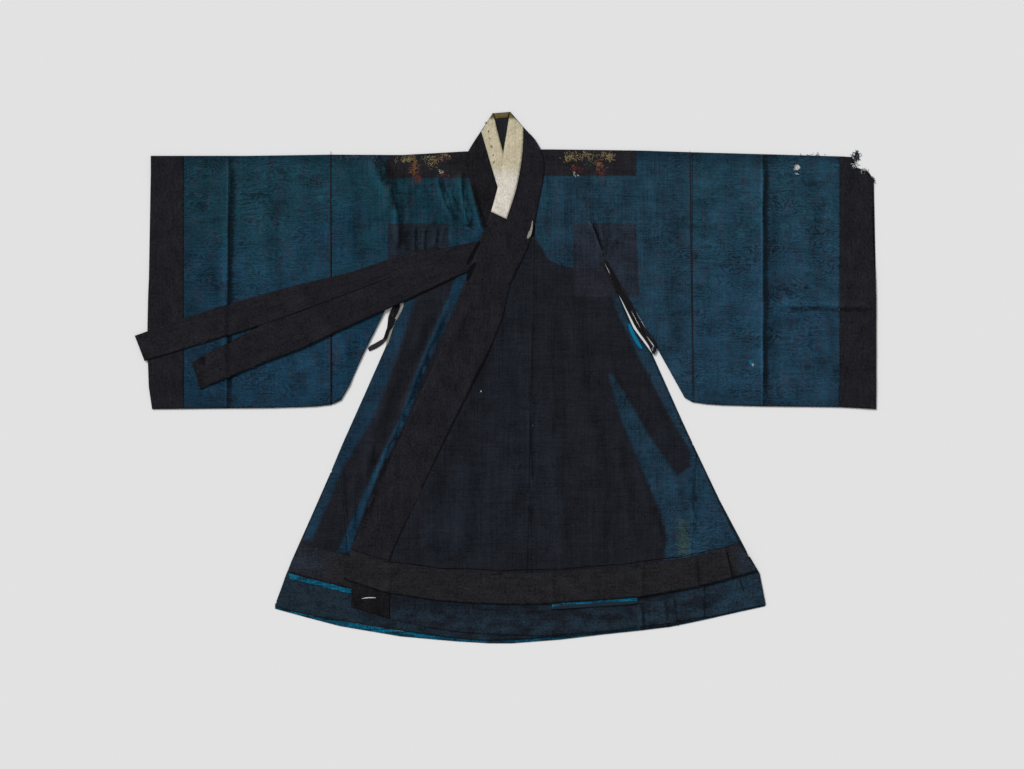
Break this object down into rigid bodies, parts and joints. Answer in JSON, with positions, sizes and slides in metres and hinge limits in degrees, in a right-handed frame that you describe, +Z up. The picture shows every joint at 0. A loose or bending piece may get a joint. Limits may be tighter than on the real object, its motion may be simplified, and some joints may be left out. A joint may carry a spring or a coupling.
{
  "type": "ceremonial court robe laid flat",
  "caption": "Wide-sleeved crossed-front silk gauze court robe laid flat, with contrast cuffs, hem bands, collar and long ties.",
  "frame": {"origin": "middle of the robe's footprint, on the surface it lies on", "axes": "+Z up, away from that surface; +Y from the hem to the collar; +X towards the wearer's left sleeve"},
  "size_m": [1.808, 1.297, 0.0108],
  "materials": {
    "body_gauze": "blue-black silk gauze over a blue lining, matt",
    "sleeve_gauze": "deep teal-blue silk gauze in two layers with a watered ripple",
    "trim_silk": "warm black plain silk, matt with light abrasion",
    "lining_silk": "slate-blue thin silk",
    "facing_silk": "bright blue silk",
    "white_silk": "aged cream silk with stains"
  },
  "bodies": {
    "root": {"body_panel_right": "body_gauze", "body_panel_left": "body_gauze", "gore_front_right": "body_gauze", "gore_front_left": "body_gauze", "gore_back_right": "body_gauze", "gore_back_left": "body_gauze", "overlap_left": "body_gauze", "overlap_right": "body_gauze", "sleeve_right": "sleeve_gauze", "sleeve_left": "sleeve_gauze", "cuff_right": "trim_silk", "cuff_left": "trim_silk", "front_trim_left": "trim_silk", "hem_band_left": "trim_silk", "hem_band_right": "trim_silk", "collar_back": "trim_silk", "collar_right": "trim_silk", "collar_left": "trim_silk", "collar_strip_back": "white_silk", "collar_strip_right": "white_silk", "collar_strip_left": "white_silk", "lining_back": "lining_silk", "lining_left": "lining_silk", "lining_corner": "trim_silk", "hem_facing_back": "facing_silk", "hem_facing_right": "facing_silk", "hem_facing_left": "facing_silk", "underarm_patch_right": "body_gauze", "underarm_patch_left": "body_gauze", "shoulder_backing_right": "body_gauze", "shoulder_backing_left": "body_gauze", "long_tie_under": "trim_silk", "long_tie_over": "trim_silk", "side_tie_right": "trim_silk", "side_tie_left_1": "trim_silk", "side_tie_left_2": "trim_silk"}
  },
  "joints": []
}
